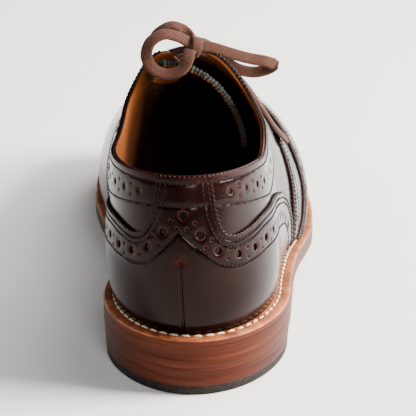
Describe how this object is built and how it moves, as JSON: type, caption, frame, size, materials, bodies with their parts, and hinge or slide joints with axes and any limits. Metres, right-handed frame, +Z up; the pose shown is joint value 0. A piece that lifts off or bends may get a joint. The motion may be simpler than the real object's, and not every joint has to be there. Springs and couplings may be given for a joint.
{
  "type": "brogue shoe",
  "caption": "Laced full brogue shoe for the right foot, in polished burgundy leather with a winged toe, punched counter, stitched welt and stacked heel.",
  "frame": {"origin": "on the floor under the middle of the shoe's box, laces of the bow left out", "axes": "+Y from heel to toe, +X to the outer side of the right foot, +Z up"},
  "size_m": [0.101, 0.2968, 0.1163],
  "materials": {
    "burgundy_leather": "mirror-polished dark burgundy calf",
    "tongue_leather": "dark suede flesh side",
    "tan_lining": "matt tan lining leather",
    "sole_leather": "stained and waxed sole leather",
    "heel_stack": "stained and waxed leather lifts",
    "heel_rubber": "matt dark rubber",
    "brown_lace": "flat woven cotton"
  },
  "bodies": {
    "root": {"outsole": "sole_leather", "welt": "sole_leather", "heel_lift_1": "heel_stack", "heel_lift_2": "heel_stack", "heel_lift_3": "heel_stack", "heel_top_piece": "heel_rubber", "insole": "tan_lining", "upper": "burgundy_leather", "counter": "burgundy_leather", "vamp": "burgundy_leather", "wing_cap": "burgundy_leather", "tongue": "tongue_leather", "lace_bar_1": "brown_lace", "lace_bar_2": "brown_lace", "lace_bar_3": "brown_lace", "lace_bar_4": "brown_lace", "lace_bar_5": "brown_lace", "bow_knot": "brown_lace", "bow_loop_left": "brown_lace", "bow_loop_right": "brown_lace", "lace_end_lateral": "brown_lace", "lace_end_medial": "brown_lace"}
  },
  "joints": []
}
